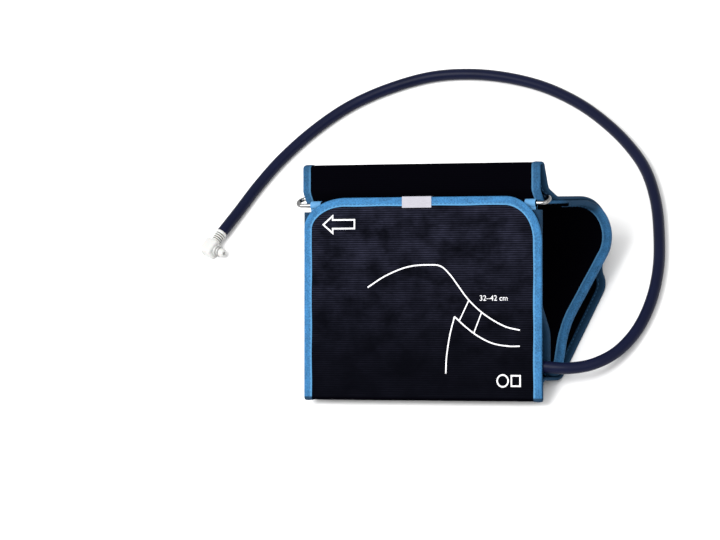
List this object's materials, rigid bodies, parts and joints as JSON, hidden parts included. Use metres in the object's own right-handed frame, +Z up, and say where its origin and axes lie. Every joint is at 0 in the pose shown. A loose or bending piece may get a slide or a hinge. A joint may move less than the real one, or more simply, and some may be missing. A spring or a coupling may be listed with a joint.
{
  "type": "blood pressure cuff",
  "caption": "Upper-arm blood pressure cuff: bound cloth band looped through a bar ring, with a rounded hook flap, an inner bladder, and an air hose ending in an elbow plug.",
  "frame": {"origin": "centre of the underside of the cuff without its hose and plug, on the table it lies on", "axes": "+X across the band, to the right when the flap is faced; +Y from the flap's bottom fold back to the loop; +Z up from the table"},
  "size_m": [0.3037, 0.2465, 0.0823],
  "materials": {
    "outer_velour": "brushed loop pile",
    "lining_cloth": "matt ribbed weave",
    "binding_tape": "woven tape",
    "stay_plastic": "satin",
    "bladder_film": "satin",
    "ring_metal": "polished",
    "hook_cloth": "fine hooks",
    "label_cloth": "silver satin",
    "port_plastic": "satin",
    "hose_rubber": "semi-gloss",
    "plug_plastic": "satin white",
    "seal_rubber": "matt"
  },
  "bodies": {
    "cuff": {"wrap_shell": "outer_velour", "wrap_stay": "stay_plastic", "wrap_bladder": "bladder_film", "wrap_lining": "lining_cloth", "wrap_binding_left": "binding_tape", "wrap_binding_right": "binding_tape", "ring_hem": "outer_velour", "hem_end_tapes": "binding_tape", "tail_shell": "outer_velour", "tail_lining": "lining_cloth", "tail_binding_left": "binding_tape", "tail_binding_right": "binding_tape", "bladder_port": "port_plastic", "port_grommet": "port_plastic", "hose": "hose_rubber", "plug_ferrule": "plug_plastic", "plug_elbow": "plug_plastic", "nozzle_o_rings": "seal_rubber"},
    "flap": {"flap_front": "lining_cloth", "flap_back": "outer_velour", "flap_binding": "binding_tape", "flap_hook_patch": "hook_cloth", "label_tab": "label_cloth"},
    "ring": {"bar_ring": "ring_metal"}
  },
  "joints": [
    {"name": "flap_open", "type": "hinge", "parent": "cuff", "child": "flap", "pos_m": [0, -0.05998, 0.007], "axis": [1, 0, 0], "range_deg": [0, 145]},
    {"name": "ring_swing", "type": "hinge", "parent": "cuff", "child": "ring", "pos_m": [-0.00963, 0.03468, 0.06935], "axis": [1, 0, 0], "range_deg": [-8, 4]}
  ]
}
